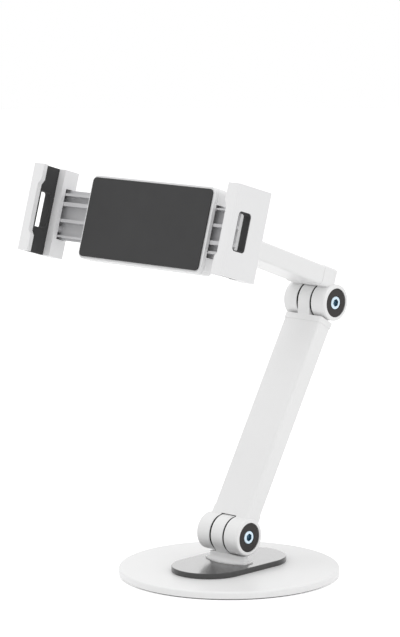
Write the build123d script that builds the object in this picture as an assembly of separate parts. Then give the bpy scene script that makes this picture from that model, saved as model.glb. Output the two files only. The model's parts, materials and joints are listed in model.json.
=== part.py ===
"""Tablet desk stand: a round weighted base, two tube arms on friction hinges and a
clamp whose two jaws slide apart together on a rack and pinion.

The part's frame has its origin in the middle of the base's underside, +Z up, +X to the
right along every hinge axis, and -Y towards the user. Millimetres and degrees.
"""

from build123d import *
import math
import os

# Base, from the desk up
PAD_THICKNESS = 1.0
PAD_MARGIN = 1.5
DISC_DIAMETER = 160.0
DISC_THICKNESS = 5.0
DISC_EDGE = 1.5
PLATE_WIDTH = 54.5
PLATE_LENGTH = 97.0
PLATE_THICKNESS = 4.0
PLATE_EDGE = 0.6
FOOT_WIDTH = 39.0
FOOT_DEPTH = 21.6
FOOT_BOW_RADIUS = 32.0
FOOT_HEIGHT = 5.0
FOOT_RIM = 0.8
FOOT_SKIRT = 3.2
FOOT_SKIRT_RADIUS = 3.0
FOOT_LIP = 1.6
FOOT_NECK_SETBACK = 0.6
FOOT_SCREW_SPREAD = 10.0
FOOT_SCREW_BITE = 3.2

# Arms, between hinge centres
LOWER_ARM = 186.0
LOWER_LEAN = 30.4
UPPER_ARM = 156.6
UPPER_RISE = 20.0
TUBE_OFFSET = 16.5

# Arm tube and the fittings in its ends
TUBE_WIDTH = 35.0
TUBE_THICKNESS = 14.0
TUBE_CORNER = 2.2
TUBE_INNER_CORNER = 0.6
TUBE_WALL = 3.0
FITTING_STEP = 0.4
FORK_SEAM = 18.0
LOWER_FORK_START = 3.0
UPPER_FORK_REAR = 3.6
UPPER_FORK_CORNER = 1.2
KNUCKLE_FLANGE = 4.4
PLUG_LENGTH = 20.0
PLUG_CLEARANCE = 0.15
ARM_SCREW_SPREAD = 9.0
ARM_SCREW_INSET = 9.0
ARM_SCREW_LENGTH = 6.0
ARM_SCREW_TURN = 37.0
LOWER_SCREW_SIDE = 1
UPPER_SCREW_SIDE = 1

# Hinges, three alike
HINGE_WIDTH = 40.0
BARREL_RADIUS = 13.5
BARREL_EDGE = 1.2
TONGUE_WIDTH = 11.2
WASHER_THICKNESS = 1.5
WASHER_STEP = 0.2
HINGE_PLAY = 0.1
NOTCH_GAP = 0.8
FOOT_GAP = 1.2
BOLT_RADIUS = 3.0
BORE_CLEARANCE = 0.05
HEAD_RADIUS = 5.0
HEAD_HEIGHT = 6.0
HEAD_EDGE = 0.5
SOCKET_FLATS = 5.0
SOCKET_DEPTH = 3.0
NUT_FLATS = 10.0
NUT_HEIGHT = 6.0
NUT_COVER_GAP = 0.4
COVER_RADIUS = 10.6
COVER_SETBACK = 0.3
BOLT_END_GAP = 0.3
RING_THICKNESS = 3.0
CAP_THICKNESS = 1.5
CAP_CROWN = 0.4
FIT = 0.1

# Clamp body
HOLDER_TILT = 16.56
FACE_REACH = 38.0
FACE_PAD_END_MARGIN = 2.5
FACE_PAD_SIDE_MARGIN = 1.7
FACE_PAD_THICKNESS = 1.2
FACE_PAD_CORNER = 3.0
FACE_PAD_EDGE = 0.3
FRONT_PLATE_SETBACK = 0.5
FRONT_PLATE_THICKNESS = 3.1
FRONT_PLATE_EDGE = 0.6
HOUSING_LENGTH = 120.0
HOUSING_HEIGHT = 60.0
HOUSING_DEPTH = 9.7
HOUSING_CORNER = 5.0
HOUSING_EDGE = 1.2
HOUSING_BACK_WALL = 2.2
HOUSING_SCREW_END_INSET = 10.0
HOUSING_SCREW_SIDE_INSET = 6.0
HOUSING_SCREW_BITE = 2.2

# Swivel between the clamp and the top hinge
YOKE_PLATE_RADIUS = 23.0
YOKE_PLATE_THICKNESS = 5.0
YOKE_PLATE_EDGE = 1.2
YOKE_NECK_HEIGHT = 13.0
SWIVEL_WASHER_RADIUS = 21.0
SWIVEL_WASHER_THICKNESS = 1.0
SWIVEL_BOLT_RADIUS = 2.5
SWIVEL_HEAD_RADIUS = 4.25
SWIVEL_HEAD_HEIGHT = 5.0
SWIVEL_SOCKET_FLATS = 4.0
SWIVEL_NUT_FLATS = 8.0
SWIVEL_NUT_HEIGHT = 4.0
SWIVEL_HEAD_GAP = 0.3
SWIVEL_NUT_SETBACK = 0.3
BOSS_RADIUS = 6.2
BOSS_SHOULDER_RADIUS = 8.0

# Jaws, two alike
JAW_REACH = 99.2
JAW_HEIGHT = 62.5
JAW_WALL = 3.8
LINER_WALL = 2.4
JAW_LIP_FRONT = 20.3
JAW_LIP_THICKNESS = 3.8
JAW_LIP_DEPTH = 10.8
LIP_LINER_THICKNESS = 1.5
LIP_LINER_SETBACK = 1.1
JAW_BLOCK_LENGTH = 12.3
JAW_BLOCK_SETBACK = 0.4
JAW_OUTER_EDGE = 2.0
JAW_LIP_EDGE = 1.0
LIP_RELIEF_DEPTH = 2.5
LIP_RELIEF_INNER = 16.5
LIP_RELIEF_OUTER = 20.0
SLOT_WIDTH = 25.5
SLOT_LOW = 3.6
SLOT_HIGH = 14.6
SLOT_CORNER = 1.8
SLOT_COLLAR = 0.8
SLOT_COLLAR_SETBACK = 0.3
JAW_SCREW_INSET = 5.0
JAW_SCREW_BOSS_V = 10.6
JAW_SCREW_LENGTH = 8.0
JAW_SCREW_BOSS_RADIUS = 2.8

# Slides, rack and pinion
GEAR_MODULE = 1.0
GEAR_TEETH = 20
PRESSURE_ANGLE = 20.0
BACKLASH = 0.3
ROOT_CLEARANCE = 0.25
GEAR_FACE = 4.4
PINION_BORE_CLEARANCE = 0.12
SLIDE_WIDTH = 36.0
SLIDE_PLATE = 2.0
SLIDE_CLEARANCE = 0.2
SLIDE_SIDE_CLEARANCE = 0.3
SLIDE_INNER_END = 40.0
SLIDE_OUTER_GAP = 1.0
RACK_BACK = 14.5
RACK_LIFT = 0.4
RACK_PAST_CENTRE = 24.0
SLIDE_RIBS = ((15.8, 1.2), (4.5, 2.2), (-7.5, 2.8), (-14.3, 1.8))
RACK_ROOT_LENGTH = 14.0

# Countersunk screws
FOOT_SCREW = (2.5, 4.6, 2.6)
ARM_SCREW = (1.9, 3.5, 1.9)
CASE_SCREW = (1.4, 2.7, 1.5)
SCREW_SOCKET_SHARE = 0.45
SCREW_SOCKET_DEPTH = 0.7

# Heights of the base stack and of the first hinge
disc_bottom = PAD_THICKNESS
disc_top = disc_bottom + DISC_THICKNESS
plate_top = disc_top + PLATE_THICKNESS
foot_top = plate_top + FOOT_HEIGHT
base_hinge_height = foot_top + FOOT_GAP + BARREL_RADIUS

# Hinge stack along X, from the middle out
hinge_half = HINGE_WIDTH / 2
tongue_half = TONGUE_WIDTH / 2
ear_inner = tongue_half + WASHER_THICKNESS + HINGE_PLAY
notch_radius = BARREL_RADIUS + NOTCH_GAP
cover_face = hinge_half - COVER_SETBACK
ring_seat = cover_face - RING_THICKNESS
head_seat = cover_face - HEAD_HEIGHT
cap_seat = cover_face - CAP_THICKNESS
nut_face = cap_seat - NUT_COVER_GAP
nut_seat = nut_face - NUT_HEIGHT

# Arm ends
fitting_thickness = TUBE_THICKNESS + 2 * FITTING_STEP
fitting_half = fitting_thickness / 2
knuckle_seam = notch_radius + KNUCKLE_FLANGE
tube_top = TUBE_OFFSET + TUBE_THICKNESS / 2
front_hinge_offset = tube_top - BARREL_RADIUS
clear_of_barrel = 2 * BARREL_RADIUS

# Plan sizes of the clamp's pieces, all from the housing's
face_pad_length = HOUSING_LENGTH - 2 * FACE_PAD_END_MARGIN
face_pad_height = HOUSING_HEIGHT - 2 * FACE_PAD_SIDE_MARGIN
front_plate_length = HOUSING_LENGTH - 2 * FRONT_PLATE_SETBACK
housing_screw_u = HOUSING_LENGTH / 2 - HOUSING_SCREW_END_INSET
housing_screw_v = HOUSING_HEIGHT / 2 - HOUSING_SCREW_SIDE_INSET

# Layers of the clamp along its facing direction, from the pad's face back
pad_back = -FACE_PAD_THICKNESS
front_plate_back = pad_back - FRONT_PLATE_THICKNESS
housing_back = front_plate_back - HOUSING_DEPTH
swivel_washer_back = housing_back - SWIVEL_WASHER_THICKNESS
yoke_plate_back = swivel_washer_back - YOKE_PLATE_THICKNESS
channel_floor = housing_back + HOUSING_BACK_WALL
slide_back = channel_floor + SLIDE_CLEARANCE
slide_plate_front = slide_back + SLIDE_PLATE
rack_back_face = slide_plate_front + RACK_LIFT
rack_front_face = rack_back_face + GEAR_FACE
slide_front = front_plate_back - SLIDE_SIDE_CLEARANCE
channel_half = SLIDE_WIDTH / 2 + SLIDE_SIDE_CLEARANCE
pitch_radius = GEAR_MODULE * GEAR_TEETH / 2
tip_radius = pitch_radius + GEAR_MODULE
root_radius = pitch_radius - GEAR_MODULE - ROOT_CLEARANCE

# Jaw planes along the clamp's length and facing direction
jaw_half_height = JAW_HEIGHT / 2
jaw_wall_inner = JAW_REACH - JAW_WALL
liner_inner = jaw_wall_inner - LINER_WALL
jaw_lip_inner = JAW_REACH - JAW_LIP_DEPTH
jaw_lip_back = JAW_LIP_FRONT - JAW_LIP_THICKNESS
jaw_block_inner = JAW_REACH - JAW_BLOCK_LENGTH
jaw_block_front = -JAW_BLOCK_SETBACK
jaw_screw_u = JAW_REACH - JAW_SCREW_INSET - JAW_WALL
slide_outer_end = jaw_wall_inner - SLIDE_OUTER_GAP

# Frames of the four stages, each turned about X alone
lean = math.radians(LOWER_LEAN)
rise = math.radians(UPPER_RISE)
tilt = math.radians(HOLDER_TILT)
base_hinge = (0.0, 0.0, base_hinge_height)
elbow_hinge = (
    0.0,
    LOWER_ARM * math.sin(lean),
    base_hinge_height + LOWER_ARM * math.cos(lean),
)
front_hinge = (
    0.0,
    elbow_hinge[1] - UPPER_ARM * math.cos(rise) + front_hinge_offset * math.sin(rise),
    elbow_hinge[2] + UPPER_ARM * math.sin(rise) + front_hinge_offset * math.cos(rise),
)
face_centre = (
    0.0,
    front_hinge[1] - FACE_REACH * math.cos(tilt),
    front_hinge[2] + FACE_REACH * math.sin(tilt),
)
at_base_hinge = Location(base_hinge, (-LOWER_LEAN, 0, 0))
at_lower_arm_end = Location(elbow_hinge, (-LOWER_LEAN, 0, 0))
at_elbow = Location(elbow_hinge, (90 - UPPER_RISE, 0, 0))
over_hinge = Pos(0, TUBE_OFFSET, 0)
at_front_hinge = Location(front_hinge, (90 - UPPER_RISE, 0, 0))
at_yoke = Location(front_hinge, (90 - HOLDER_TILT, 0, 0))
at_face = Location(face_centre, (90 - HOLDER_TILT, 0, 0))

OVERCUT = 1.0


def block(x_low, x_high, y_low, y_high, z_low, z_high):
    """A box between two corners."""
    middle = Pos((x_low + x_high) / 2, (y_low + y_high) / 2, (z_low + z_high) / 2)
    return middle * Box(x_high - x_low, y_high - y_low, z_high - z_low)


def x_rod(radius, x_low, x_high):
    """A round rod along X."""
    return Pos((x_low + x_high) / 2, 0, 0) * Rot(0, 90, 0) * Cylinder(radius, x_high - x_low)


def z_rod(radius, z_low, z_high):
    """A round rod along Z."""
    return Pos(0, 0, (z_low + z_high) / 2) * Cylinder(radius, z_high - z_low)


def x_hexagon(flats, x_low, x_high):
    """A hexagonal bar along X, measured across its flats."""
    shape = RegularPolygon(flats / 2, 6, major_radius=False)
    return extrude(Plane.YZ.offset(x_low) * shape, x_high - x_low)


def z_hexagon(flats, z_low, z_high):
    """A hexagonal bar along Z, measured across its flats."""
    shape = RegularPolygon(flats / 2, 6, major_radius=False)
    return extrude(Plane.XY.offset(z_low) * shape, z_high - z_low)


def side_plate(points, half_width):
    """A plate across X with an outline of (y, z) points."""
    return extrude(Plane.YZ * Polygon(*points, align=None), half_width, both=True)


def flat_part(points, z_low, z_high):
    """A flat part with an outline of (x, y) points."""
    outline = Plane.XY.offset(z_low) * Polygon(*points, align=None)
    return extrude(outline, z_high - z_low, dir=(0, 0, 1))


def rounded_slab(length, height, corner, z_low, z_high):
    """A slab in the XY plane with rounded corners."""
    return extrude(Plane.XY.offset(z_low) * RectangleRounded(length, height, corner), z_high - z_low)


def tangent_point(y, z, radius, side):
    """Where the line from (y, z) touches a circle round the origin, on the given side."""
    angle = math.atan2(z, y) + side * math.acos(radius / math.hypot(y, z))
    return radius * math.cos(angle), radius * math.sin(angle)


def soften_sides(solid, half_width, radius):
    """Rounds the outline of the two faces that close a solid across X."""
    sides = [face for face in solid.faces().filter_by(Axis.X) if abs(face.center().X) > half_width - FIT]
    edges = ShapeList([edge for face in sides for edge in face.edges()])
    return fillet(edges, radius)


def arm_section(inset):
    """The arm tube's oblong section with rounded corners, drawn in by an inset."""
    corner = max(TUBE_CORNER - max(inset, 0), TUBE_INNER_CORNER)
    return RectangleRounded(TUBE_WIDTH - 2 * inset, TUBE_THICKNESS - 2 * inset, corner)


def arm_bar(inset, z_low, z_high):
    """A bar of the arm's section along Z."""
    return extrude(Plane.XY.offset(z_low) * arm_section(inset), z_high - z_low)


def turned(points):
    """A solid turned round Z from an outline of (radius, z) points."""
    return revolve(Plane.XZ * Polygon(*points, align=None), Axis.Z)


def drilled(solid, rooms):
    """A solid with room cut for each of several screws."""
    for room in rooms:
        solid -= room
    return solid


def screw(size, length):
    """A countersunk screw: its head's top at the origin, its shank up +Z, a socket in its head."""
    shank, head, head_height = size
    body = turned([(0, 0), (head, 0), (shank, head_height), (shank, length), (0, length)])
    return body - z_hexagon(SCREW_SOCKET_SHARE * 2 * head, -OVERCUT, head_height * SCREW_SOCKET_DEPTH)


def screw_room(size, length):
    """The hole that a countersunk screw fills, open above its head."""
    shank, head, head_height = [measure + BORE_CLEARANCE for measure in size]
    end = length + BORE_CLEARANCE
    return turned([(0, -OVERCUT), (head, -OVERCUT), (head, 0), (shank, head_height), (shank, end), (0, end)])


def fork_cuts():
    """What a hinge's bolt, washers and end covers need cut out of its fork."""
    notch = x_rod(notch_radius, -ear_inner, ear_inner)
    bore = x_rod(BOLT_RADIUS + BORE_CLEARANCE, -hinge_half - OVERCUT, hinge_half + OVERCUT)
    head_room = x_rod(HEAD_RADIUS + FIT, head_seat, hinge_half + OVERCUT)
    ring_room = x_rod(COVER_RADIUS + FIT, ring_seat, hinge_half + OVERCUT)
    cap_room = x_rod(COVER_RADIUS + FIT, -hinge_half - OVERCUT, -cap_seat)
    nut_room = x_hexagon(NUT_FLATS + 2 * FIT, -hinge_half, -nut_seat)
    return notch + bore + head_room + ring_room + cap_room + nut_room


def tongue_bore():
    return x_rod(BOLT_RADIUS + BORE_CLEARANCE, -tongue_half - OVERCUT, tongue_half + OVERCUT)


def tongue_barrel():
    """The round middle knuckle of a hinge, with its rims eased."""
    barrel = x_rod(BARREL_RADIUS, -tongue_half, tongue_half)
    return fillet(barrel.edges().filter_by(GeomType.CIRCLE), WASHER_STEP)


def hinge_bolt():
    head = x_rod(HEAD_RADIUS, head_seat, cover_face)
    head = chamfer(head.faces().sort_by(Axis.X)[-1].edges(), HEAD_EDGE)
    shank = x_rod(BOLT_RADIUS, -nut_face + BOLT_END_GAP, head_seat)
    socket = x_hexagon(SOCKET_FLATS, cover_face - SOCKET_DEPTH, cover_face + OVERCUT)
    return head + shank - socket


def hinge_nut():
    body = x_hexagon(NUT_FLATS, -nut_face, -nut_seat)
    return body - x_rod(BOLT_RADIUS + BORE_CLEARANCE, -nut_face - OVERCUT, -nut_seat + OVERCUT)


def hinge_ring():
    """The dark ring that fills the recess round the bolt's head."""
    body = x_rod(COVER_RADIUS, ring_seat, cover_face)
    body = chamfer(body.faces().sort_by(Axis.X)[-1].edges(), CAP_CROWN)
    return body - x_rod(HEAD_RADIUS + FIT, ring_seat - OVERCUT, cover_face + OVERCUT)


def hinge_cap():
    """The dark push-in disc that covers the nut."""
    body = x_rod(COVER_RADIUS, -cover_face, -cap_seat)
    return chamfer(body.faces().sort_by(Axis.X)[0].edges(), CAP_CROWN)


def hinge_washers():
    """Two friction washers, one on each side of the tongue."""
    near = tongue_half + HINGE_PLAY / 2
    far = near + WASHER_THICKNESS
    rings = []
    for low, high in ((near, far), (-far, -near)):
        hole = x_rod(BOLT_RADIUS + BORE_CLEARANCE, low - OVERCUT, high + OVERCUT)
        rings.append(x_rod(BARREL_RADIUS - WASHER_STEP, low, high) - hole)
    return rings


def base_disc():
    disc = z_rod(DISC_DIAMETER / 2, disc_bottom, disc_top)
    disc = fillet(disc.faces().sort_by(Axis.Z)[-1].edges(), DISC_EDGE)
    return drilled(disc, foot_screw_rooms())


def base_pad():
    return z_rod(DISC_DIAMETER / 2 - PAD_MARGIN, 0, PAD_THICKNESS)


def base_plate():
    """The dark oblong plate with round ends, its long way front to back."""
    outline = Rot(0, 0, 90) * SlotOverall(PLATE_LENGTH, PLATE_WIDTH)
    plate = extrude(Plane.XY.offset(disc_top) * outline, PLATE_THICKNESS)
    plate = fillet(plate.faces().sort_by(Axis.Z)[-1].edges(), PLATE_EDGE)
    return drilled(plate, foot_screw_rooms())


foot_screw_length = foot_top - disc_bottom - FOOT_SCREW_BITE / 2


def foot_screw_places():
    return [Pos(side * FOOT_SCREW_SPREAD, 0, disc_bottom) for side in (-1, 1)]


def foot_screws():
    return Compound(children=[place * screw(FOOT_SCREW, foot_screw_length) for place in foot_screw_places()])


def foot_screw_rooms():
    return [place * screw_room(FOOT_SCREW, foot_screw_length) for place in foot_screw_places()]


def foot_plan(inset):
    """The foot's bowed outline from above, drawn in by an inset."""
    bow = FOOT_BOW_RADIUS - FOOT_DEPTH / 2
    round_side = Circle(FOOT_BOW_RADIUS - inset)
    lens = Pos(0, bow, 0) * round_side & Pos(0, -bow, 0) * round_side
    return lens & Rectangle(FOOT_WIDTH - 2 * inset, FOOT_DEPTH)


def foot_block():
    """The foot's thin rim and its block, with a hollow curve from one to the other."""
    foot = extrude(foot_plan(0), FOOT_RIM) + extrude(foot_plan(FOOT_SKIRT), FOOT_HEIGHT + FOOT_LIP)
    at_rim = foot.edges().filter_by_position(Axis.Z, FOOT_RIM - FIT, FOOT_RIM + FIT)
    reach = (FOOT_WIDTH - FOOT_SKIRT) / 2
    inner = ShapeList([edge for edge in at_rim if max(abs(end.X) for end in edge.vertices()) < reach])
    return Pos(0, 0, plate_top) * fillet(inner, FOOT_SKIRT_RADIUS)


def foot_bracket():
    """The bowed foot screwed down on the plate, rising to the base hinge's tongue."""
    neck_half = FOOT_DEPTH / 2 - FOOT_SKIRT - FOOT_NECK_SETBACK
    neck_base = foot_top - OVERCUT - base_hinge_height
    neck_start = foot_top + FOOT_LIP - base_hinge_height
    left = tangent_point(-neck_half, neck_start, BARREL_RADIUS, -1)
    right = tangent_point(neck_half, neck_start, BARREL_RADIUS, 1)
    outline = [(-neck_half, neck_base), (neck_half, neck_base), (neck_half, neck_start), right, left,
               (-neck_half, neck_start)]
    hinge_room = x_rod(BARREL_RADIUS + FOOT_GAP, -hinge_half - OVERCUT, hinge_half + OVERCUT)
    tongue = tongue_barrel() + side_plate(outline, tongue_half) - tongue_bore()
    return drilled(foot_block() - Pos(*base_hinge) * hinge_room + Pos(*base_hinge) * tongue, foot_screw_rooms())


def ear_barrel():
    """The round barrel that a fork's two ears are cut from, with its outer rims eased."""
    barrel = x_rod(BARREL_RADIUS, -hinge_half, hinge_half)
    return fillet(barrel.edges().filter_by(GeomType.CIRCLE), BARREL_EDGE)


def plug_screw_places(height, face_side):
    """Where two screws, side by side, go through one broad face of the tube into a plug."""
    places = []
    for x in (-ARM_SCREW_SPREAD, ARM_SCREW_SPREAD):
        surface = TUBE_THICKNESS / 2 - FIT
        inwards = Location((x, face_side * surface, height), (90 * face_side, 0, 0))
        places.append(inwards * Rot(0, 0, ARM_SCREW_TURN))
    return places


def plug_screws(height, face_side):
    return [place * screw(ARM_SCREW, ARM_SCREW_LENGTH) for place in plug_screw_places(height, face_side)]


def plug_screw_rooms(height, face_side):
    return [place * screw_room(ARM_SCREW, ARM_SCREW_LENGTH) for place in plug_screw_places(height, face_side)]


def fork_plug(face_side):
    """The plug that a fork pushes into the tube, drilled for its screws."""
    plug = arm_bar(TUBE_WALL + PLUG_CLEARANCE, FORK_SEAM - TUBE_WALL, FORK_SEAM + PLUG_LENGTH)
    return drilled(plug, plug_screw_rooms(FORK_SEAM + ARM_SCREW_INSET, face_side))


def knuckle_plug(face_side):
    """The flange and plug at a tube's far end, placed from the next hinge's centre."""
    flange = arm_bar(-FITTING_STEP, -knuckle_seam, -notch_radius)
    plug = arm_bar(TUBE_WALL + PLUG_CLEARANCE, -knuckle_seam - PLUG_LENGTH, -knuckle_seam + TUBE_WALL)
    return flange + drilled(plug, plug_screw_rooms(-knuckle_seam - ARM_SCREW_INSET, face_side))


def arm_tube(arm_length, face_side):
    """A hollow tube between a fork's seam and a knuckle's, drilled near both ends."""
    far_end = arm_length - knuckle_seam
    tube = arm_bar(0, FORK_SEAM, far_end) - arm_bar(TUBE_WALL, FORK_SEAM - OVERCUT, far_end + OVERCUT)
    for height in (FORK_SEAM + ARM_SCREW_INSET, far_end - ARM_SCREW_INSET):
        tube = drilled(tube, plug_screw_rooms(height, face_side))
    return tube


def arm_screws(place, arm_length, face_side):
    """The four screws of one arm."""
    heights = (FORK_SEAM + ARM_SCREW_INSET, arm_length - knuckle_seam - ARM_SCREW_INSET)
    return Compound(children=[place * one for height in heights for one in plug_screws(height, face_side)])


def lower_fork():
    """The fork at the foot of the lower arm: two round ears, a root and a plug up the tube."""
    body = ear_barrel() + arm_bar(-FITTING_STEP, LOWER_FORK_START, FORK_SEAM)
    return at_base_hinge * (body - fork_cuts() + fork_plug(LOWER_SCREW_SIDE))


def lower_knuckle():
    """The lower arm's top: a flange on the tube and the elbow's tongue above it."""
    left = tangent_point(-fitting_half, -notch_radius, BARREL_RADIUS, -1)
    right = tangent_point(fitting_half, -notch_radius, BARREL_RADIUS, 1)
    outline = [(-fitting_half, -notch_radius), left, right, (fitting_half, -notch_radius)]
    neck = side_plate(outline, tongue_half)
    return at_lower_arm_end * (tongue_barrel() + neck - tongue_bore() + knuckle_plug(LOWER_SCREW_SIDE))


def upper_fork():
    """The fork at the elbow: its round ears hang under the arm, which lies above the hinge."""
    root = arm_bar(-FITTING_STEP, UPPER_FORK_REAR, FORK_SEAM)
    root = fillet(root.faces().sort_by(Axis.Z)[0].edges(), UPPER_FORK_CORNER)
    body = ear_barrel() + over_hinge * root
    return at_elbow * (body - fork_cuts() + over_hinge * fork_plug(UPPER_SCREW_SIDE))


def upper_knuckle():
    """The upper arm's front end: its tongue's top lies level with the tube's."""
    low = TUBE_OFFSET - fitting_half - front_hinge_offset
    under = tangent_point(low, -notch_radius, BARREL_RADIUS, -1)
    neck = side_plate([(BARREL_RADIUS, -notch_radius), (BARREL_RADIUS, 0), (0, 0), under,
                       (low, -notch_radius)], tongue_half)
    end = Pos(0, TUBE_OFFSET - front_hinge_offset, 0) * knuckle_plug(UPPER_SCREW_SIDE)
    return at_front_hinge * (tongue_barrel() + neck - tongue_bore() + end)


# Places of the swivel bolt along the facing direction
swivel_head_back = notch_radius - FACE_REACH + SWIVEL_HEAD_GAP
swivel_head_front = swivel_head_back + SWIVEL_HEAD_HEIGHT
boss_front = front_plate_back - SLIDE_SIDE_CLEARANCE
swivel_nut_front = boss_front - SWIVEL_NUT_SETBACK
swivel_nut_back = swivel_nut_front - SWIVEL_NUT_HEIGHT
swivel_bore = SWIVEL_BOLT_RADIUS + BORE_CLEARANCE


def holder_yoke():
    """The fork of the top hinge with the round plate that the clamp swivels on."""
    plate_gap = FACE_REACH + yoke_plate_back
    half_neck = YOKE_NECK_HEIGHT / 2
    left = tangent_point(-half_neck, plate_gap, BARREL_RADIUS, 1)
    right = tangent_point(half_neck, plate_gap, BARREL_RADIUS, -1)
    web = side_plate([(-half_neck, plate_gap), (half_neck, plate_gap), right, left], hinge_half)
    body = soften_sides(x_rod(BARREL_RADIUS, -hinge_half, hinge_half) + web, hinge_half, BARREL_EDGE)
    for side in (-1, 1):
        inner, outer = sorted((side * half_neck, side * clear_of_barrel))
        body -= block(-ear_inner, ear_inner, inner, outer, -clear_of_barrel, plate_gap + OVERCUT)
    body = at_yoke * (body - fork_cuts())
    plate = z_rod(YOKE_PLATE_RADIUS, yoke_plate_back, swivel_washer_back)
    plate = fillet(plate.edges().filter_by(GeomType.CIRCLE), YOKE_PLATE_EDGE)
    head_room = z_rod(SWIVEL_HEAD_RADIUS + FIT, swivel_head_back - SOCKET_DEPTH, swivel_head_front)
    bore = z_rod(swivel_bore, swivel_head_back, swivel_washer_back + OVERCUT)
    return body + at_face * plate - at_face * (head_room + bore)


def swivel_washer():
    ring = z_rod(SWIVEL_WASHER_RADIUS, swivel_washer_back, housing_back)
    return at_face * (ring - z_rod(swivel_bore, swivel_washer_back - OVERCUT, housing_back + OVERCUT))


def swivel_bolt():
    head = z_rod(SWIVEL_HEAD_RADIUS, swivel_head_back, swivel_head_front)
    shank = z_rod(SWIVEL_BOLT_RADIUS, swivel_head_front, swivel_nut_front)
    socket = z_hexagon(SWIVEL_SOCKET_FLATS, swivel_head_back - OVERCUT, swivel_head_back + SOCKET_DEPTH)
    return at_face * (head + shank - socket)


def swivel_nut():
    body = z_hexagon(SWIVEL_NUT_FLATS, swivel_nut_back, swivel_nut_front)
    return at_face * (body - z_rod(swivel_bore, swivel_nut_back - OVERCUT, swivel_nut_front + OVERCUT))


def case_screw_places():
    return [Pos(u * housing_screw_u, v * housing_screw_v, housing_back) for u in (-1, 1) for v in (-1, 1)]


case_screw_length = HOUSING_DEPTH + HOUSING_SCREW_BITE


def case_screw_rooms():
    return [place * screw_room(CASE_SCREW, case_screw_length) for place in case_screw_places()]


def housing_screws():
    return Compound(children=[at_face * place * screw(CASE_SCREW, case_screw_length)
                              for place in case_screw_places()])


def holder_housing():
    """The clamp's open-ended back shell, with the channel that both slides run in."""
    shell = rounded_slab(HOUSING_LENGTH, HOUSING_HEIGHT, HOUSING_CORNER, housing_back, front_plate_back)
    shell = fillet(shell.faces().sort_by(Axis.Z)[0].edges(), HOUSING_EDGE)
    channel = block(-HOUSING_LENGTH, HOUSING_LENGTH, -channel_half, channel_half,
                    channel_floor, front_plate_back + OVERCUT)
    shell -= channel
    shoulder = z_rod(BOSS_SHOULDER_RADIUS, channel_floor - FIT, rack_back_face - FIT)
    boss = z_rod(BOSS_RADIUS, channel_floor - FIT, boss_front)
    nut_room = z_hexagon(SWIVEL_NUT_FLATS + 2 * FIT, swivel_nut_back, boss_front + OVERCUT)
    bore = z_rod(swivel_bore, housing_back - OVERCUT, boss_front + OVERCUT)
    return at_face * drilled(shell + shoulder + boss - nut_room - bore, case_screw_rooms())


def holder_front_plate():
    plate = rounded_slab(front_plate_length, HOUSING_HEIGHT, HOUSING_CORNER, front_plate_back, pad_back)
    plate = fillet(plate.faces().sort_by(Axis.Z)[-1].edges(), FRONT_PLATE_EDGE)
    return at_face * drilled(plate, case_screw_rooms())


def holder_pad():
    pad = rounded_slab(face_pad_length, face_pad_height, FACE_PAD_CORNER, pad_back, 0)
    return at_face * fillet(pad.faces().sort_by(Axis.Z)[-1].edges(), FACE_PAD_EDGE)


def involute(angle):
    return math.tan(angle) - angle


def drive_pinion():
    """An involute pinion on the housing's boss, a tooth pointing up and one down."""
    base_radius = pitch_radius * math.cos(math.radians(PRESSURE_ANGLE))
    half_pitch = (math.pi * GEAR_MODULE - BACKLASH) / 4 / pitch_radius
    half_base = half_pitch + involute(math.radians(PRESSURE_ANGLE))
    steps = 4
    flank = []
    for step in range(steps + 1):
        radius = base_radius + (tip_radius - base_radius) * step / steps
        flank.append((radius, half_base - involute(math.acos(base_radius / radius))))
    flank.insert(0, (root_radius, half_base))
    points = []
    for tooth in range(GEAR_TEETH):
        middle = math.radians(90) + tooth * math.tau / GEAR_TEETH
        sides = [(radius, middle - half) for radius, half in flank]
        sides += [(radius, middle + half) for radius, half in reversed(flank)]
        points += [(radius * math.cos(angle), radius * math.sin(angle)) for radius, angle in sides]
    teeth = flat_part(points, rack_back_face, rack_front_face)
    bore = z_rod(BOSS_RADIUS + PINION_BORE_CLEARANCE, rack_back_face - OVERCUT, rack_front_face + OVERCUT)
    return at_face * (teeth - bore)


def rack(inner_end, outer_end):
    """The toothed edge that pushes the pinion from below, its gap at the pinion's tooth."""
    pitch = math.pi * GEAR_MODULE
    slope = math.tan(math.radians(PRESSURE_ANGLE))
    half_pitch_width = (pitch - BACKLASH) / 4
    tip_line = -pitch_radius + GEAR_MODULE
    root_line = -pitch_radius - GEAR_MODULE - ROOT_CLEARANCE
    half_tip = half_pitch_width - GEAR_MODULE * slope
    half_root = half_pitch_width + (GEAR_MODULE + ROOT_CLEARANCE) * slope
    points = [(inner_end, -RACK_BACK), (inner_end, root_line)]
    first = math.ceil((inner_end + half_root) / pitch - 0.5)
    last = math.floor((outer_end - half_root) / pitch - 0.5)
    for tooth in range(first, last + 1):
        middle = (tooth + 0.5) * pitch
        points += [(middle - half_root, root_line), (middle - half_tip, tip_line),
                   (middle + half_tip, tip_line), (middle + half_root, root_line)]
    points += [(outer_end, root_line), (outer_end, -RACK_BACK)]
    return flat_part(points, rack_back_face, rack_front_face)


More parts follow.
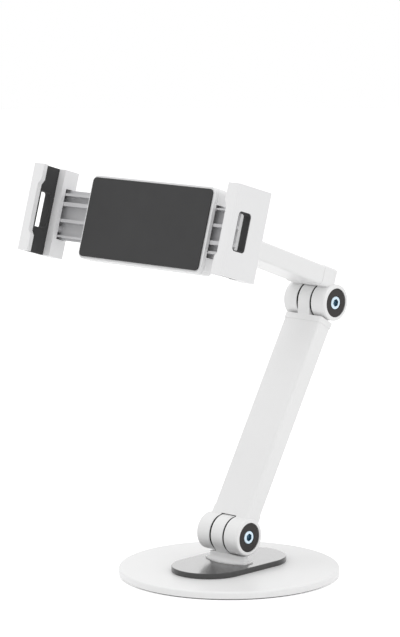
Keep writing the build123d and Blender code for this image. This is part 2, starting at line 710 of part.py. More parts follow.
def right_slide():
    """One jaw's slide: a ribbed plate, with a rack arm that reaches past the pinion."""
    half = SLIDE_WIDTH / 2
    slide = block(SLIDE_INNER_END, slide_outer_end, -half, half, slide_back, slide_plate_front)
    for v, width in SLIDE_RIBS:
        slide += block(SLIDE_INNER_END, slide_outer_end, v - width / 2, v + width / 2,
                       slide_plate_front - FIT, slide_front)
    slide += rack(-RACK_PAST_CENTRE, SLIDE_INNER_END)
    rack_root = SLIDE_INNER_END + RACK_ROOT_LENGTH
    slide += block(SLIDE_INNER_END, rack_root, -RACK_BACK, -pitch_radius + GEAR_MODULE,
                   slide_plate_front - FIT, rack_front_face)
    slide += Pos(jaw_screw_u, JAW_SCREW_BOSS_V, 0) * z_rod(
        JAW_SCREW_BOSS_RADIUS, slide_plate_front - FIT, slide_front)
    return drilled(slide, jaw_screw_rooms())


def jaw_screw_places():
    return [Pos(jaw_screw_u, v, housing_back) for v in (JAW_SCREW_BOSS_V, -JAW_SCREW_BOSS_V - FIT)]


def jaw_screw_rooms():
    return [place * screw_room(CASE_SCREW, JAW_SCREW_LENGTH) for place in jaw_screw_places()]


def lip_relief(z_low, z_high):
    """The shallow step cut into the lip's inner edge."""
    edge = jaw_lip_inner
    deepest = edge + LIP_RELIEF_DEPTH
    points = [(edge - OVERCUT, -LIP_RELIEF_OUTER), (edge, -LIP_RELIEF_OUTER), (deepest, -LIP_RELIEF_INNER),
              (deepest, LIP_RELIEF_INNER), (edge, LIP_RELIEF_OUTER), (edge - OVERCUT, LIP_RELIEF_OUTER)]
    return flat_part(points, z_low, z_high)


def cable_slot(grow, x_low, x_high):
    """The rounded window through the jaw's side, open for a plug, wider all round by grow."""
    outline = RectangleRounded(SLOT_WIDTH + 2 * grow, SLOT_HIGH - SLOT_LOW + 2 * grow, SLOT_CORNER + grow)
    window = Plane.YZ.offset(x_low) * Pos(0, (SLOT_LOW + SLOT_HIGH) / 2) * outline
    return extrude(window, x_high - x_low)


def right_shell():
    """One jaw's hard shell: the block over the slide, the side wall and the front lip."""
    half = jaw_half_height
    shell = block(jaw_wall_inner, JAW_REACH, -half, half, housing_back, JAW_LIP_FRONT)
    shell += block(jaw_lip_inner, JAW_REACH, -half, half, jaw_lip_back, JAW_LIP_FRONT)
    shell += block(jaw_block_inner, JAW_REACH, -half, half, housing_back, jaw_block_front)
    along = shell.edges().filter_by(Axis.Y)
    outer = [edge for edge in along if edge.center().X > JAW_REACH - FIT]
    shell = fillet(outer, JAW_OUTER_EDGE)
    along = shell.edges().filter_by(Axis.Y)
    tip = [edge for edge in along
           if edge.center().X < jaw_lip_inner + FIT and edge.center().Z > JAW_LIP_FRONT - FIT]
    shell = fillet(tip, JAW_LIP_EDGE)
    pocket = block(jaw_block_inner - OVERCUT, jaw_wall_inner - SLIDE_CLEARANCE,
                   -SLIDE_WIDTH / 2 - SLIDE_CLEARANCE, SLIDE_WIDTH / 2 + SLIDE_CLEARANCE,
                   channel_floor, front_plate_back)
    relief = lip_relief(jaw_lip_back - OVERCUT, JAW_LIP_FRONT + OVERCUT)
    window = cable_slot(SLOT_COLLAR, jaw_wall_inner - OVERCUT, JAW_REACH + OVERCUT)
    return drilled(shell - pocket - relief - window, jaw_screw_rooms())


def right_liner():
    """The dark soft lining of one jaw's side and lip, with a collar through the side's window."""
    half = jaw_half_height
    liner = block(liner_inner, jaw_wall_inner, -half, half, jaw_block_front, jaw_lip_back)
    lip_inner = jaw_lip_inner + LIP_LINER_SETBACK
    liner += block(lip_inner, jaw_wall_inner, -half, half, jaw_lip_back - LIP_LINER_THICKNESS, jaw_lip_back)
    liner -= lip_relief(jaw_lip_back - 2 * LIP_LINER_THICKNESS, jaw_lip_back + OVERCUT)
    liner += cable_slot(SLOT_COLLAR, jaw_wall_inner - OVERCUT, JAW_REACH - SLOT_COLLAR_SETBACK)
    return liner - cable_slot(0, liner_inner - OVERCUT, JAW_REACH + OVERCUT)


def right_jaw_screws():
    return [place * screw(CASE_SCREW, JAW_SCREW_LENGTH) for place in jaw_screw_places()]


def jaw_nodes(side_name, turn):
    """The four nodes of one jaw; the left one is the right one turned half round."""
    place = at_face * Rot(0, 0, turn)
    return {
        f"jaw_{side_name}_shell": place * right_shell(),
        f"jaw_{side_name}_liner": place * right_liner(),
        f"jaw_{side_name}_slide": place * right_slide(),
        f"jaw_{side_name}_screws": Compound(children=[place * one for one in right_jaw_screws()]),
    }


def hinge_nodes(name, place):
    """The five kinds of hardware that hold one hinge together."""
    return {
        f"{name}_bolt": place * hinge_bolt(),
        f"{name}_nut": place * hinge_nut(),
        f"{name}_bolt_ring": place * hinge_ring(),
        f"{name}_nut_cap": place * hinge_cap(),
        f"{name}_washers": Compound(children=[place * ring for ring in hinge_washers()]),
    }


def all_nodes():
    nodes = {
        "base_disc": base_disc(),
        "base_pad": base_pad(),
        "base_plate": base_plate(),
        "foot_bracket": foot_bracket(),
        "foot_screws": foot_screws(),
        "lower_fork": lower_fork(),
        "lower_tube": at_base_hinge * arm_tube(LOWER_ARM, LOWER_SCREW_SIDE),
        "lower_knuckle": lower_knuckle(),
        "lower_arm_screws": arm_screws(at_base_hinge, LOWER_ARM, LOWER_SCREW_SIDE),
        "upper_fork": upper_fork(),
        "upper_tube": at_elbow * over_hinge * arm_tube(UPPER_ARM, UPPER_SCREW_SIDE),
        "upper_knuckle": upper_knuckle(),
        "upper_arm_screws": arm_screws(at_elbow * over_hinge, UPPER_ARM, UPPER_SCREW_SIDE),
        "holder_yoke": holder_yoke(),
        "swivel_washer": swivel_washer(),
        "swivel_bolt": swivel_bolt(),
        "swivel_nut": swivel_nut(),
        "holder_housing": holder_housing(),
        "holder_front_plate": holder_front_plate(),
        "holder_pad": holder_pad(),
        "housing_screws": housing_screws(),
        "drive_pinion": drive_pinion(),
    }
    nodes.update(hinge_nodes("base_hinge", at_base_hinge))
    nodes.update(hinge_nodes("elbow", at_elbow))
    nodes.update(hinge_nodes("tilt", at_yoke))
    nodes.update(jaw_nodes("right", 0))
    nodes.update(jaw_nodes("left", 180))
    return nodes


os.makedirs("parts", exist_ok=True)
for node_name, node_shape in all_nodes().items():
    export_step(node_shape, f"parts/{node_name}.step")
print("base hinge", base_hinge)
print("elbow hinge", elbow_hinge)
print("front hinge", front_hinge)
print("face centre", face_centre)
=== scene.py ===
"""Looks of the tablet desk stand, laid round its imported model: white powder coat and moulded
plastic, dark rubber and nylon, zinc-plated bolts, and a plain white studio.

All lengths are metres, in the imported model's own frame.
"""

import json
import math

import bmesh
import bpy
from bpy.props import FloatProperty, FloatVectorProperty, IntProperty, PointerProperty
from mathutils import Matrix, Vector


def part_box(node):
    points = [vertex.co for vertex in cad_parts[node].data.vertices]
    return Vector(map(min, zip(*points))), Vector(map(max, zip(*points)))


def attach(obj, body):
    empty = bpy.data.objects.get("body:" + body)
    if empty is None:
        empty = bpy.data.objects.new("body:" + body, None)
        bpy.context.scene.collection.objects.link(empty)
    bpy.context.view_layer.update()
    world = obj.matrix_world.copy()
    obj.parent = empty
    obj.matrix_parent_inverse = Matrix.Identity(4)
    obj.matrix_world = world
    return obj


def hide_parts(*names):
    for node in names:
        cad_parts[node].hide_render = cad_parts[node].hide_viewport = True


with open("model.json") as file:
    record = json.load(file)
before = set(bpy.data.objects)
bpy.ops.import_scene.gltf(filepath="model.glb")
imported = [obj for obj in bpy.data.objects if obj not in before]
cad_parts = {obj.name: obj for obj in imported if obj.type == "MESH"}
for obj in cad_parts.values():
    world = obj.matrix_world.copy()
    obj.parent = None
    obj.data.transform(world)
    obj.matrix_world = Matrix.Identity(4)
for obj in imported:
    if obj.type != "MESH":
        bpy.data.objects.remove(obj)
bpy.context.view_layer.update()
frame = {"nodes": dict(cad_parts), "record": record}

bl_info = {
    "name": "Tablet Desk Stand Looks",
    "version": (1, 0, 0),
    "blender": (4, 5, 0),
    "location": "View3D > Sidebar > Desk Stand",
    "description": "Dresses a packed tablet desk stand with its finishes and puts it in a white studio",
    "category": "Object",
}

# The photograph's view of the stand
PICTURE_WIDTH = 400
PICTURE_HEIGHT = 637
FOCAL_PIXELS = 2977.5
PRINCIPAL_POINT = (229.1, 328.4)
VIEW_TARGET = Vector((0.0, 0.0, 0.18))

# Names that repeat over the pieces
HINGES = ("base_hinge", "elbow", "tilt")
SIDES = ("right", "left")

# A hinge bolt's hexagon socket: half its width across corners, its depth and its rim
SOCKET_REACH = 0.00295
SOCKET_FLOOR = 0.0032
SOCKET_RIM = 0.0001

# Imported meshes: how near two points count as one, before and after their corners are eased, and
# the least angles between faces for an edge to be kept, to be eased and to be shaded sharp
WELD_BEFORE = 0.000002
WELD_AFTER = 0.000001
EDGE_ANGLE = math.radians(0.8)
CORNER_ANGLE = math.radians(38)
SHARP_SHADE_ANGLE = math.radians(42)

# The studio: the size and place of each lamp, the reach and tone of the floor, and plain white
TOP_LAMP = (1.6, Vector((-0.2, -0.3, 1.7)))
SIDE_LAMP = (1.2, Vector((1.6, 0.3, 0.7)))
GLOSS_LAMP = (2.4, Vector((-1.8, 1.9, 0.7)))
GLOSS_LAMP_NAME = "Gloss Lamp"
FLOOR_RADIUS = 4.0
FLOOR_SIDES = 96
FLOOR_WHITE = (0.86, 0.86, 0.86, 1.0)
PURE_WHITE = (1.0, 1.0, 1.0, 1.0)


def body_of_node(node):
    """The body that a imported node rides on."""
    bodies = frame["record"]["behaviour"]["bodies"]
    return next(body for body, members in bodies.items() if node in members)


def slot_of_node(node):
    """The record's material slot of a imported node."""
    rows = frame["record"]["subparts"]
    return next(row["material_slot"] for row in rows if row["node"] == node)


class StandFinish(bpy.types.PropertyGroup):
    """Colours and edge sizes of the stand's finishes."""

    white_coat: FloatVectorProperty(
        name="White coat", description="Powder coat on the base and the arms",
        subtype="COLOR", size=3, min=0, max=1, default=(0.86, 0.86, 0.86))
    white_plastic: FloatVectorProperty(
        name="White plastic", description="Moulded shells of the clamp and the jaws",
        subtype="COLOR", size=3, min=0, max=1, default=(0.84, 0.84, 0.845))
    slide_grey: FloatVectorProperty(
        name="Slide grey", description="Ribbed slides and the pinion",
        subtype="COLOR", size=3, min=0, max=1, default=(0.60, 0.60, 0.61))
    plate_dark: FloatVectorProperty(
        name="Dark plate", description="Oblong plate on the base",
        subtype="COLOR", size=3, min=0, max=1, default=(0.060, 0.060, 0.060))
    trim_dark: FloatVectorProperty(
        name="Dark trim", description="Rings and covers on the hinges",
        subtype="COLOR", size=3, min=0, max=1, default=(0.024, 0.021, 0.020))
    # Near black: partly the washers' own colour, partly painted shade of the gaps between the barrels.
    washer_gap_shade: FloatVectorProperty(
        name="Washer dark", description="Friction washers in the hinges",
        subtype="COLOR", size=3, min=0, max=1, default=(0.010, 0.010, 0.010))
    rubber_dark: FloatVectorProperty(
        name="Dark rubber", description="Face pad and jaw linings",
        subtype="COLOR", size=3, min=0, max=1, default=(0.045, 0.045, 0.046))
    foam_dark: FloatVectorProperty(
        name="Dark foam", description="Pad under the base",
        subtype="COLOR", size=3, min=0, max=1, default=(0.03, 0.03, 0.03))
    zinc: FloatVectorProperty(
        name="Zinc", description="Bright plate on the hinge bolts",
        subtype="COLOR", size=3, min=0, max=1, default=(0.62, 0.75, 0.84))
    screw_steel: FloatVectorProperty(
        name="Screw steel", description="Screws and nuts",
        subtype="COLOR", size=3, min=0, max=1, default=(0.50, 0.51, 0.52))
    # Painted shade: the darker colour given to the faces inside the hinge bolts' hexagon sockets.
    socket: FloatVectorProperty(
        name="Socket", description="Shaded hexagon sockets in the hinge bolts",
        subtype="COLOR", size=3, min=0, max=1, default=(0.22, 0.36, 0.45))
    shell_edge: FloatProperty(
        name="Shell edge", description="Width of the eased edges on coated and moulded pieces",
        unit="LENGTH", min=0, max=0.002, default=0.0005)
    trim_edge: FloatProperty(
        name="Trim edge", description="Width of the eased edges on small hardware",
        unit="LENGTH", min=0, max=0.001, default=0.0002)
    edge_steps: IntProperty(
        name="Edge steps", description="Facets across each eased edge",
        min=1, max=6, default=3)


class StandStudio(bpy.types.PropertyGroup):
    """Light levels and view of the studio."""

    camera_azimuth: FloatProperty(
        name="Azimuth", description="Angle of the camera round the stand from its front",
        subtype="ANGLE", default=math.radians(42.78))
    camera_elevation: FloatProperty(
        name="Elevation", description="Angle of the camera above the horizon",
        subtype="ANGLE", default=math.radians(9.04))
    camera_distance: FloatProperty(
        name="Distance", description="From the camera to its target",
        unit="LENGTH", min=0.1, default=2.1325)
    sky_level: FloatProperty(
        name="Sky level", description="Brightness of the white surroundings on the object",
        min=0, default=0.82)
    top_level: FloatProperty(
        name="Top light", description="Power of the broad lamp overhead, in watts",
        min=0, default=8.5)
    side_level: FloatProperty(
        name="Side light", description="Power of the broad lamp on the right, in watts",
        min=0, default=2.5)
    gloss_level: FloatProperty(
        name="Gloss light", description="Power of the low lamp behind, seen only in the dark plate",
        min=0, default=14.5)
    floor_lift: FloatProperty(
        name="Floor lift", description="Extra brightness of the floor as the camera sees it",
        min=0, default=0.45)


def finish_settings():
    return bpy.context.scene.stand_finish


def studio_settings():
    return bpy.context.scene.stand_studio


# Shader groups


def new_group(name, inputs, outputs):
    """A node group with its input and output nodes.

    An input whose default is a tuple is a colour, and any other is a value.
    """
    tree = bpy.data.node_groups.new(name, "ShaderNodeTree")
    for label, default in inputs.items():
        kind = "NodeSocketColor" if isinstance(default, tuple) else "NodeSocketFloat"
        socket = tree.interface.new_socket(name=label, in_out="INPUT", socket_type=kind)
        socket.default_value = default
    for label, kind in outputs.items():
        tree.interface.new_socket(name=label, in_out="OUTPUT", socket_type=kind)
    return tree, tree.nodes.new("NodeGroupInput"), tree.nodes.new("NodeGroupOutput")


def fine_grain_group():
    """Grain of a coated or moulded surface: colour, roughness and height from object space."""
    name = "Stand Fine Grain"
    if name in bpy.data.node_groups:
        return bpy.data.node_groups[name]
    tree, inputs, outputs = new_group(
        name,
        {"Colour": (0.8, 0.8, 0.8, 1), "Shade": (0.7, 0.7, 0.7, 1), "Grain Scale": 1500.0,
         "Patch Scale": 30.0, "Least Roughness": 0.4, "Most Roughness": 0.5},
        {"Colour": "NodeSocketColor", "Roughness": "NodeSocketFloat", "Height": "NodeSocketFloat"})
    nodes, links = tree.nodes, tree.links
    place = nodes.new("ShaderNodeTexCoord")
    grain = nodes.new("ShaderNodeTexNoise")
    grain.inputs["Detail"].default_value = 3.0
    patch = nodes.new("ShaderNodeTexNoise")
    patch.inputs["Detail"].default_value = 2.0
    mix = nodes.new("ShaderNodeMix")
    mix.data_type = "RGBA"
    spread = nodes.new("ShaderNodeMapRange")
    links.new(place.outputs["Object"], grain.inputs["Vector"])
    links.new(place.outputs["Object"], patch.inputs["Vector"])
    links.new(inputs.outputs["Grain Scale"], grain.inputs["Scale"])
    links.new(inputs.outputs["Patch Scale"], patch.inputs["Scale"])
    links.new(patch.outputs["Fac"], mix.inputs["Factor"])
    links.new(inputs.outputs["Colour"], mix.inputs["A"])
    links.new(inputs.outputs["Shade"], mix.inputs["B"])
    links.new(grain.outputs["Fac"], spread.inputs["Value"])
    links.new(inputs.outputs["Least Roughness"], spread.inputs["To Min"])
    links.new(inputs.outputs["Most Roughness"], spread.inputs["To Max"])
    links.new(mix.outputs["Result"], outputs.inputs["Colour"])
    links.new(spread.outputs["Result"], outputs.inputs["Roughness"])
    links.new(grain.outputs["Fac"], outputs.inputs["Height"])
    return tree


def edge_highlight_group():
    """A mask of outer edges painted lighter, a painted highlight broken up by noise."""
    name = "Stand Painted Edge Highlight"
    if name in bpy.data.node_groups:
        return bpy.data.node_groups[name]
    tree, inputs, outputs = new_group(
        name,
        {"Colour": (0.1, 0.1, 0.1, 1), "Worn Colour": (0.2, 0.2, 0.2, 1), "Start": 0.52, "End": 0.62},
        {"Colour": "NodeSocketColor"})
    nodes, links = tree.nodes, tree.links
    shape = nodes.new("ShaderNodeNewGeometry")
    place = nodes.new("ShaderNodeTexCoord")
    breakup = nodes.new("ShaderNodeTexNoise")
    breakup.inputs["Scale"].default_value = 260.0
    edge = nodes.new("ShaderNodeMapRange")
    both = nodes.new("ShaderNodeMath")
    both.operation = "MULTIPLY"
    mix = nodes.new("ShaderNodeMix")
    mix.data_type = "RGBA"
    links.new(place.outputs["Object"], breakup.inputs["Vector"])
    links.new(shape.outputs["Pointiness"], edge.inputs["Value"])
    links.new(inputs.outputs["Start"], edge.inputs["From Min"])
    links.new(inputs.outputs["End"], edge.inputs["From Max"])
    links.new(edge.outputs["Result"], both.inputs[0])
    links.new(breakup.outputs["Fac"], both.inputs[1])
    links.new(both.outputs["Value"], mix.inputs["Factor"])
    links.new(inputs.outputs["Colour"], mix.inputs["A"])
    links.new(inputs.outputs["Worn Colour"], mix.inputs["B"])
    links.new(mix.outputs["Result"], outputs.inputs["Colour"])
    return tree


def shaded(colour, factor):
    """A colour made darker or lighter by a factor, with its alpha."""
    return tuple(min(1.0, channel * factor) for channel in colour) + (1.0,)


def grained_material(name, colour, shade, grain, patch, roughness, bump, specular=0.5):
    """A Principled material whose colour, roughness and bump come from the grain group.

    Roughness is its least and most, and bump is its strength and its height in metres.
    """
    if name in bpy.data.materials:
        return bpy.data.materials[name]
    material = bpy.data.materials.new(name)
    material.use_nodes = True
    nodes, links = material.node_tree.nodes, material.node_tree.links
    surface = nodes["Principled BSDF"]
    surface.inputs["Specular IOR Level"].default_value = specular
    texture = nodes.new("ShaderNodeGroup")
    texture.node_tree = fine_grain_group()
    texture.inputs["Colour"].default_value = shaded(colour, 1.0)
    texture.inputs["Shade"].default_value = shaded(colour, shade)
    texture.inputs["Grain Scale"].default_value = grain
    texture.inputs["Patch Scale"].default_value = patch
    texture.inputs["Least Roughness"].default_value = roughness[0]
    texture.inputs["Most Roughness"].default_value = roughness[1]
    relief = nodes.new("ShaderNodeBump")
    relief.inputs["Strength"].default_value = bump[0]
    relief.inputs["Distance"].default_value = bump[1]
    links.new(texture.outputs["Colour"], surface.inputs["Base Color"])
    links.new(texture.outputs["Roughness"], surface.inputs["Roughness"])
    links.new(texture.outputs["Height"], relief.inputs["Height"])
    links.new(relief.outputs["Normal"], surface.inputs["Normal"])
    return material


def powder_coat():
    material = grained_material(
        "Powder Coat White", finish_settings().white_coat, shade=0.97, grain=1800.0, patch=14.0,
        roughness=(0.36, 0.46), bump=(0.12, 0.00004))
    surface = material.node_tree.nodes["Principled BSDF"]
    surface.inputs["Coat Weight"].default_value = 0.15
    surface.inputs["Coat Roughness"].default_value = 0.25
    return material


def moulded_white():
    return grained_material(
        "Moulded White", finish_settings().white_plastic, shade=0.97, grain=2600.0, patch=20.0,
        roughness=(0.42, 0.52), bump=(0.10, 0.00003))


def moulded_grey():
    return grained_material(
        "Moulded Grey", finish_settings().slide_grey, shade=0.92, grain=2200.0, patch=45.0,
        roughness=(0.34, 0.46), bump=(0.10, 0.00003))


def edge_highlight_material(name, colour, shade, grain, patch, roughness, bump, highlight_gain, specular=0.5):
    """A grained material whose outer edges are painted lighter as a painted highlight."""
    if name in bpy.data.materials:
        return bpy.data.materials[name]
    material = grained_material(name, colour, shade, grain, patch, roughness, bump, specular)
    nodes, links = material.node_tree.nodes, material.node_tree.links
    surface = nodes["Principled BSDF"]
    texture = next(node for node in nodes if node.type == "GROUP")
    painted_highlight = nodes.new("ShaderNodeGroup")
    painted_highlight.node_tree = edge_highlight_group()
    painted_highlight.inputs["Worn Colour"].default_value = shaded(colour, highlight_gain)
    links.new(texture.outputs["Colour"], painted_highlight.inputs["Colour"])
    links.new(painted_highlight.outputs["Colour"], surface.inputs["Base Color"])
    return material


def dark_plate():
    """Smooth dark plastic under a clear gloss, which mirrors the studio at a low angle."""
    # The plate's outer edges carry a painted highlight.
    material = edge_highlight_material(
        "Plate Dark", finish_settings().plate_dark, shade=0.85, grain=1600.0, patch=25.0,
        roughness=(0.24, 0.34), bump=(0.04, 0.00002), highlight_gain=1.8, specular=0.1)
    surface = material.node_tree.nodes["Principled BSDF"]
    surface.inputs["Coat Weight"].default_value = 0.7
    surface.inputs["Coat Roughness"].default_value = 0.16
    return material


def dark_trim():
    # The trim's outer edges carry a painted highlight.
    return edge_highlight_material(
        "Trim Dark", finish_settings().trim_dark, shade=0.8, grain=2400.0, patch=60.0,
        roughness=(0.45, 0.58), bump=(0.12, 0.00003), highlight_gain=1.7, specular=0.35)


def dark_nylon():
    """Matt nylon, near black: partly the washers' own dark colour and partly painted shade of the gaps
    between white barrels, so that it reads as a line there.
    """
    return grained_material(
        "Nylon Gap Shade", finish_settings().washer_gap_shade, shade=0.7, grain=2800.0, patch=90.0,
        roughness=(0.6, 0.75), bump=(0.15, 0.00003), specular=0.2)


def dark_rubber():
    return grained_material(
        "Rubber Dark", finish_settings().rubber_dark, shade=0.8, grain=3200.0, patch=50.0,
        roughness=(0.62, 0.78), bump=(0.22, 0.00005), specular=0.35)


def dark_foam():
    return grained_material(
        "Foam Dark", finish_settings().foam_dark, shade=0.7, grain=1400.0, patch=80.0,
        roughness=(0.8, 0.95), bump=(0.4, 0.0001), specular=0.2)


def metal(name, colour, shade, patch, roughness):
    """Bare or plated metal whose tone and gloss vary a little over the piece."""
    material = grained_material(
        name, colour, shade, grain=900.0, patch=patch, roughness=roughness, bump=(0.08, 0.00002))
    material.node_tree.nodes["Principled BSDF"].inputs["Metallic"].default_value = 1.0
    return material


def zinc_plate():
    return metal(
        "Zinc Plate", finish_settings().zinc, shade=0.85, patch=120.0, roughness=(0.2, 0.34))


def painted_socket_shade():
    # Painted shade inside the hexagon sockets of the hinge bolts.
    return metal(
        "Zinc Socket Painted Shade", finish_settings().socket, shade=0.6, patch=300.0, roughness=(0.3, 0.45))


def screw_steel():
    return metal(
        "Screw Steel", finish_settings().screw_steel, shade=0.8, patch=200.0, roughness=(0.28, 0.42))


MATERIAL_OF_SLOT = {
    "white_steel": powder_coat,
    "white_aluminium": powder_coat,
    "white_plastic": moulded_white,
    "grey_plastic": moulded_grey,
    "dark_plate": dark_plate,
    "dark_plastic": dark_trim,
    "dark_nylon": dark_nylon,
    "dark_rubber": dark_rubber,
    "dark_foam": dark_foam,
    "zinc_steel": screw_steel,
}
MATERIAL_OF_NODE = {f"{hinge}_bolt": zinc_plate for hinge in HINGES}


# Pieces


def put_on(piece, material):
    piece.data.materials.clear()
    piece.data.materials.append(material)


def rounded_mesh(node, edge_width):
    """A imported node's mesh with its sharp edges rounded over."""
    shape = bmesh.new()
    shape.from_mesh(frame["nodes"][node].data)
    bmesh.ops.remove_doubles(shape, verts=shape.verts, dist=WELD_BEFORE)
    bmesh.ops.dissolve_limit(
        shape, angle_limit=EDGE_ANGLE, verts=shape.verts, edges=shape.edges,
        use_dissolve_boundaries=False)
    corners = [
        edge for edge in shape.edges
        if edge.is_manifold and edge.calc_face_angle() > CORNER_ANGLE
    ]
    bmesh.ops.bevel(
        shape, geom=corners, offset=edge_width, offset_type="OFFSET", affect="EDGES",
        segments=finish_settings().edge_steps, profile=0.5, clamp_overlap=True, material=-1)
    bmesh.ops.remove_doubles(shape, verts=shape.verts, dist=WELD_AFTER)
    for face in shape.faces:
        face.smooth = True
    mesh = bpy.data.meshes.new(node + "_finish")
    shape.to_mesh(mesh)
    shape.free()
    mesh.set_sharp_from_angle(angle=SHARP_SHADE_ANGLE)
    return mesh


def eased(node, edge_width):
    """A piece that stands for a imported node, eased at its edges and dressed in its finish."""
    piece = bpy.data.objects.new(node + "_finish", rounded_mesh(node, edge_width))
    bpy.context.scene.collection.objects.link(piece)
    weights = piece.modifiers.new("Even Normals", "WEIGHTED_NORMAL")
    weights.keep_sharp = True
    finish = MATERIAL_OF_NODE.get(node) or MATERIAL_OF_SLOT[slot_of_node(node)]
    put_on(piece, finish())
    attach(piece, body_of_node(node))
    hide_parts(node)
    return piece


def shade_socket(bolt, node):
    """Gives the faces inside a hinge bolt's hexagon socket a darker colour, painted shade of the
    recess.
    """
    low, high = (Vector(corner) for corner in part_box(node))
    middle = (low + high) / 2
    bolt.data.materials.append(painted_socket_shade())
    for face in bolt.data.polygons:
        inside = all(
            math.hypot(point.y - middle.y, point.z - middle.z) < SOCKET_REACH
            for point in (bolt.data.vertices[index].co for index in face.vertices))
        if inside and high.x - SOCKET_FLOOR < face.center.x < high.x - SOCKET_RIM:
            face.material_index = 1


def light_alone(lamp, piece):
    """Makes a lamp light one piece and nothing else."""
    lit = bpy.data.collections.new(lamp.name + " Receivers")
    lit.objects.link(piece)
    lamp.light_linking.receiver_collection = lit


class STAND_OT_studio(bpy.types.Operator):
    """Puts the camera, lamps, white surroundings and floor in place"""

    bl_idname = "stand.studio"
    bl_label = "Build Studio"

    def execute(self, context):
        studio = studio_settings()
        place_camera(studio)
        surround_with_white(studio)
        hang_lamps(studio)
        lay_floor(studio)
        context.scene.view_settings.view_transform = "Standard"
        return {"FINISHED"}


def place_camera(studio):
    """The camera that sees the stand as the photograph does."""
    azimuth, elevation = studio.camera_azimuth, studio.camera_elevation
    back = Vector((
        math.sin(azimuth) * math.cos(elevation),
        -math.cos(azimuth) * math.cos(elevation),
        math.sin(elevation)))
    data = bpy.data.cameras.new("Stand Camera")
    data.lens = FOCAL_PIXELS * data.sensor_width / PICTURE_HEIGHT
    data.shift_x = (PICTURE_WIDTH / 2 - PRINCIPAL_POINT[0]) / PICTURE_HEIGHT
    data.shift_y = (PRINCIPAL_POINT[1] - PICTURE_HEIGHT / 2) / PICTURE_HEIGHT
    camera = bpy.data.objects.new("Stand Camera", data)
    camera.location = VIEW_TARGET + back * studio.camera_distance
    camera.rotation_euler = (-back).to_track_quat("-Z", "Y").to_euler()
    bpy.context.scene.collection.objects.link(camera)
    bpy.context.scene.camera = camera


def seen_rays(nodes, links):
    """One where a camera, glossy or transmission ray looks, nought for light on the object."""
    path = nodes.new("ShaderNodeLightPath")
    first = nodes.new("ShaderNodeMath")
    first.operation = "ADD"
    second = nodes.new("ShaderNodeMath")
    second.operation = "ADD"
    second.use_clamp = True
    links.new(path.outputs["Is Camera Ray"], first.inputs[0])
    links.new(path.outputs["Is Glossy Ray"], first.inputs[1])
    links.new(first.outputs["Value"], second.inputs[0])
    links.new(path.outputs["Is Transmission Ray"], second.inputs[1])
    return second.outputs["Value"]


def surround_with_white(studio):
    """A white world: pure white where it is seen, and plain soft light on the object."""
    world = bpy.data.worlds.new("Stand White")
    world.use_nodes = True
    nodes, links = world.node_tree.nodes, world.node_tree.links
    light = nodes["Background"]
    light.inputs["Color"].default_value = PURE_WHITE
    light.inputs["Strength"].default_value = studio.sky_level
    seen = nodes.new("ShaderNodeBackground")
    seen.inputs["Color"].default_value = PURE_WHITE
    seen.inputs["Strength"].default_value = 1.0
    mix = nodes.new("ShaderNodeMixShader")
    links.new(seen_rays(nodes, links), mix.inputs["Fac"])
    links.new(light.outputs["Background"], mix.inputs[1])
    links.new(seen.outputs["Background"], mix.inputs[2])
    links.new(mix.outputs["Shader"], nodes["World Output"].inputs["Surface"])
    bpy.context.scene.world = world


def hang_lamps(studio):
    """A broad lamp overhead, one on the right and one low behind, which the plate mirrors."""
    lamps = (
        ("Top Lamp", studio.top_level, TOP_LAMP),
        ("Side Lamp", studio.side_level, SIDE_LAMP),
        (GLOSS_LAMP_NAME, studio.gloss_level, GLOSS_LAMP),
    )
    for name, power, (size, place) in lamps:
        data = bpy.data.lights.new(name, "AREA")
        data.energy = power
        data.shape = "DISK"
        data.size = size
        lamp = bpy.data.objects.new(name, data)
        lamp.location = place
        lamp.rotation_euler = (VIEW_TARGET - place).to_track_quat("-Z", "Y").to_euler()
        bpy.context.scene.collection.objects.link(lamp)


def lay_floor(studio):
    """A round white floor that keeps a soft shadow of the base."""
    shape = bmesh.new()
    bmesh.ops.create_circle(shape, cap_ends=True, segments=FLOOR_SIDES, radius=FLOOR_RADIUS)
    mesh = bpy.data.meshes.new("studio_floor")
    shape.to_mesh(mesh)
    shape.free()
    floor = bpy.data.objects.new("studio_floor", mesh)
    bpy.context.scene.collection.objects.link(floor)
    material = bpy.data.materials.new("Studio Floor")
    material.use_nodes = True
    nodes, links = material.node_tree.nodes, material.node_tree.links
    surface = nodes["Principled BSDF"]
    surface.inputs["Base Color"].default_value = FLOOR_WHITE
    surface.inputs["Roughness"].default_value = 0.9
    surface.inputs["Specular IOR Level"].default_value = 0.1
    glow = nodes.new("ShaderNodeEmission")
    strength = nodes.new("ShaderNodeMath")
    strength.operation = "MULTIPLY"
    strength.inputs[1].default_value = studio.floor_lift
    both = nodes.new("ShaderNodeAddShader")
    links.new(seen_rays(nodes, links), strength.inputs[0])
    links.new(strength.outputs["Value"], glow.inputs["Strength"])
    links.new(surface.outputs["BSDF"], both.inputs[0])
    links.new(glow.outputs["Emission"], both.inputs[1])
    links.new(both.outputs["Shader"], nodes["Material Output"].inputs["Surface"])
    put_on(floor, material)


class STAND_OT_base(bpy.types.Operator):
    """Finishes the round base, its pad, the dark plate and the foot bracket"""

    bl_idname = "stand.base"
    bl_label = "Finish Base"

    def execute(self, context):
        settings = finish_settings()
        for node in ("base_disc", "base_pad", "foot_bracket"):
            eased(node, settings.shell_edge)
        plate = eased("base_plate", settings.shell_edge)
        light_alone(bpy.data.objects[GLOSS_LAMP_NAME], plate)
        eased("foot_screws", settings.trim_edge)
        return {"FINISHED"}


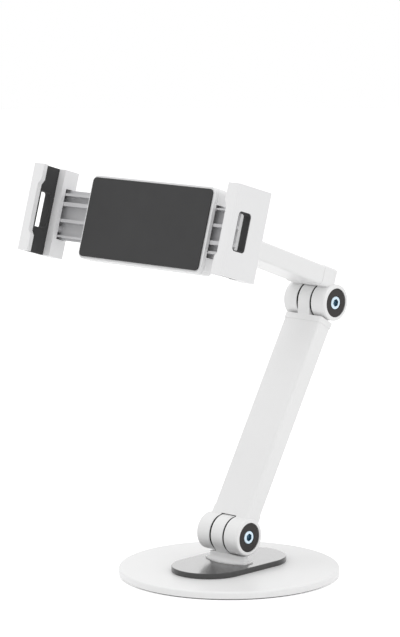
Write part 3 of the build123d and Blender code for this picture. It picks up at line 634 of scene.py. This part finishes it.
class STAND_OT_arms(bpy.types.Operator):
    """Finishes both arms: forks, tubes, knuckles and their screws"""

    bl_idname = "stand.arms"
    bl_label = "Finish Arms"

    def execute(self, context):
        settings = finish_settings()
        for arm in ("lower", "upper"):
            for part in ("fork", "tube", "knuckle"):
                eased(f"{arm}_{part}", settings.shell_edge)
            eased(f"{arm}_arm_screws", settings.trim_edge)
        return {"FINISHED"}


class STAND_OT_hinges(bpy.types.Operator):
    """Finishes the bolts, nuts, rings, covers and washers of the three hinges"""

    bl_idname = "stand.hinges"
    bl_label = "Finish Hinges"

    def execute(self, context):
        settings = finish_settings()
        for hinge in HINGES:
            shade_socket(eased(f"{hinge}_bolt", settings.trim_edge), f"{hinge}_bolt")
            for part in ("nut", "bolt_ring", "nut_cap", "washers"):
                eased(f"{hinge}_{part}", settings.trim_edge)
        return {"FINISHED"}


class STAND_OT_clamp(bpy.types.Operator):
    """Finishes the clamp's body, its pad, the yoke and the swivel"""

    bl_idname = "stand.clamp"
    bl_label = "Finish Clamp"

    def execute(self, context):
        settings = finish_settings()
        for node in ("holder_yoke", "holder_housing", "holder_front_plate", "holder_pad"):
            eased(node, settings.shell_edge)
        for node in ("housing_screws", "swivel_washer", "swivel_bolt", "swivel_nut", "drive_pinion"):
            eased(node, settings.trim_edge)
        return {"FINISHED"}


class STAND_OT_jaws(bpy.types.Operator):
    """Finishes both jaws: shells, linings, slides and screws"""

    bl_idname = "stand.jaws"
    bl_label = "Finish Jaws"

    def execute(self, context):
        settings = finish_settings()
        for side in SIDES:
            eased(f"jaw_{side}_shell", settings.shell_edge)
            for part in ("liner", "slide", "screws"):
                eased(f"jaw_{side}_{part}", settings.trim_edge)
        return {"FINISHED"}


class STAND_PT_panel(bpy.types.Panel):
    """Lists the stand's steps and sizes"""

    bl_idname = "STAND_PT_panel"
    bl_label = "Desk Stand"
    bl_space_type = "VIEW_3D"
    bl_region_type = "UI"
    bl_category = "Desk Stand"

    def draw(self, context):
        layout = self.layout
        for operator in OPERATORS:
            layout.operator(operator.bl_idname)
        for settings in (context.scene.stand_finish, context.scene.stand_studio):
            for name in settings.__annotations__:
                layout.prop(settings, name)


OPERATORS = (
    STAND_OT_studio, STAND_OT_base, STAND_OT_arms, STAND_OT_hinges, STAND_OT_clamp, STAND_OT_jaws)
CLASSES = (StandFinish, StandStudio) + OPERATORS + (STAND_PT_panel,)


def register():
    for cls in CLASSES:
        bpy.utils.register_class(cls)
    bpy.types.Scene.stand_finish = PointerProperty(type=StandFinish)
    bpy.types.Scene.stand_studio = PointerProperty(type=StandStudio)


def unregister():
    del bpy.types.Scene.stand_studio
    del bpy.types.Scene.stand_finish
    for cls in reversed(CLASSES):
        bpy.utils.unregister_class(cls)


def main():
    """Builds everything in order."""
    register()
    bpy.ops.stand.studio()
    bpy.ops.stand.base()
    bpy.ops.stand.arms()
    bpy.ops.stand.hinges()
    bpy.ops.stand.clamp()
    bpy.ops.stand.jaws()


if __name__ == "__main__":
    main()
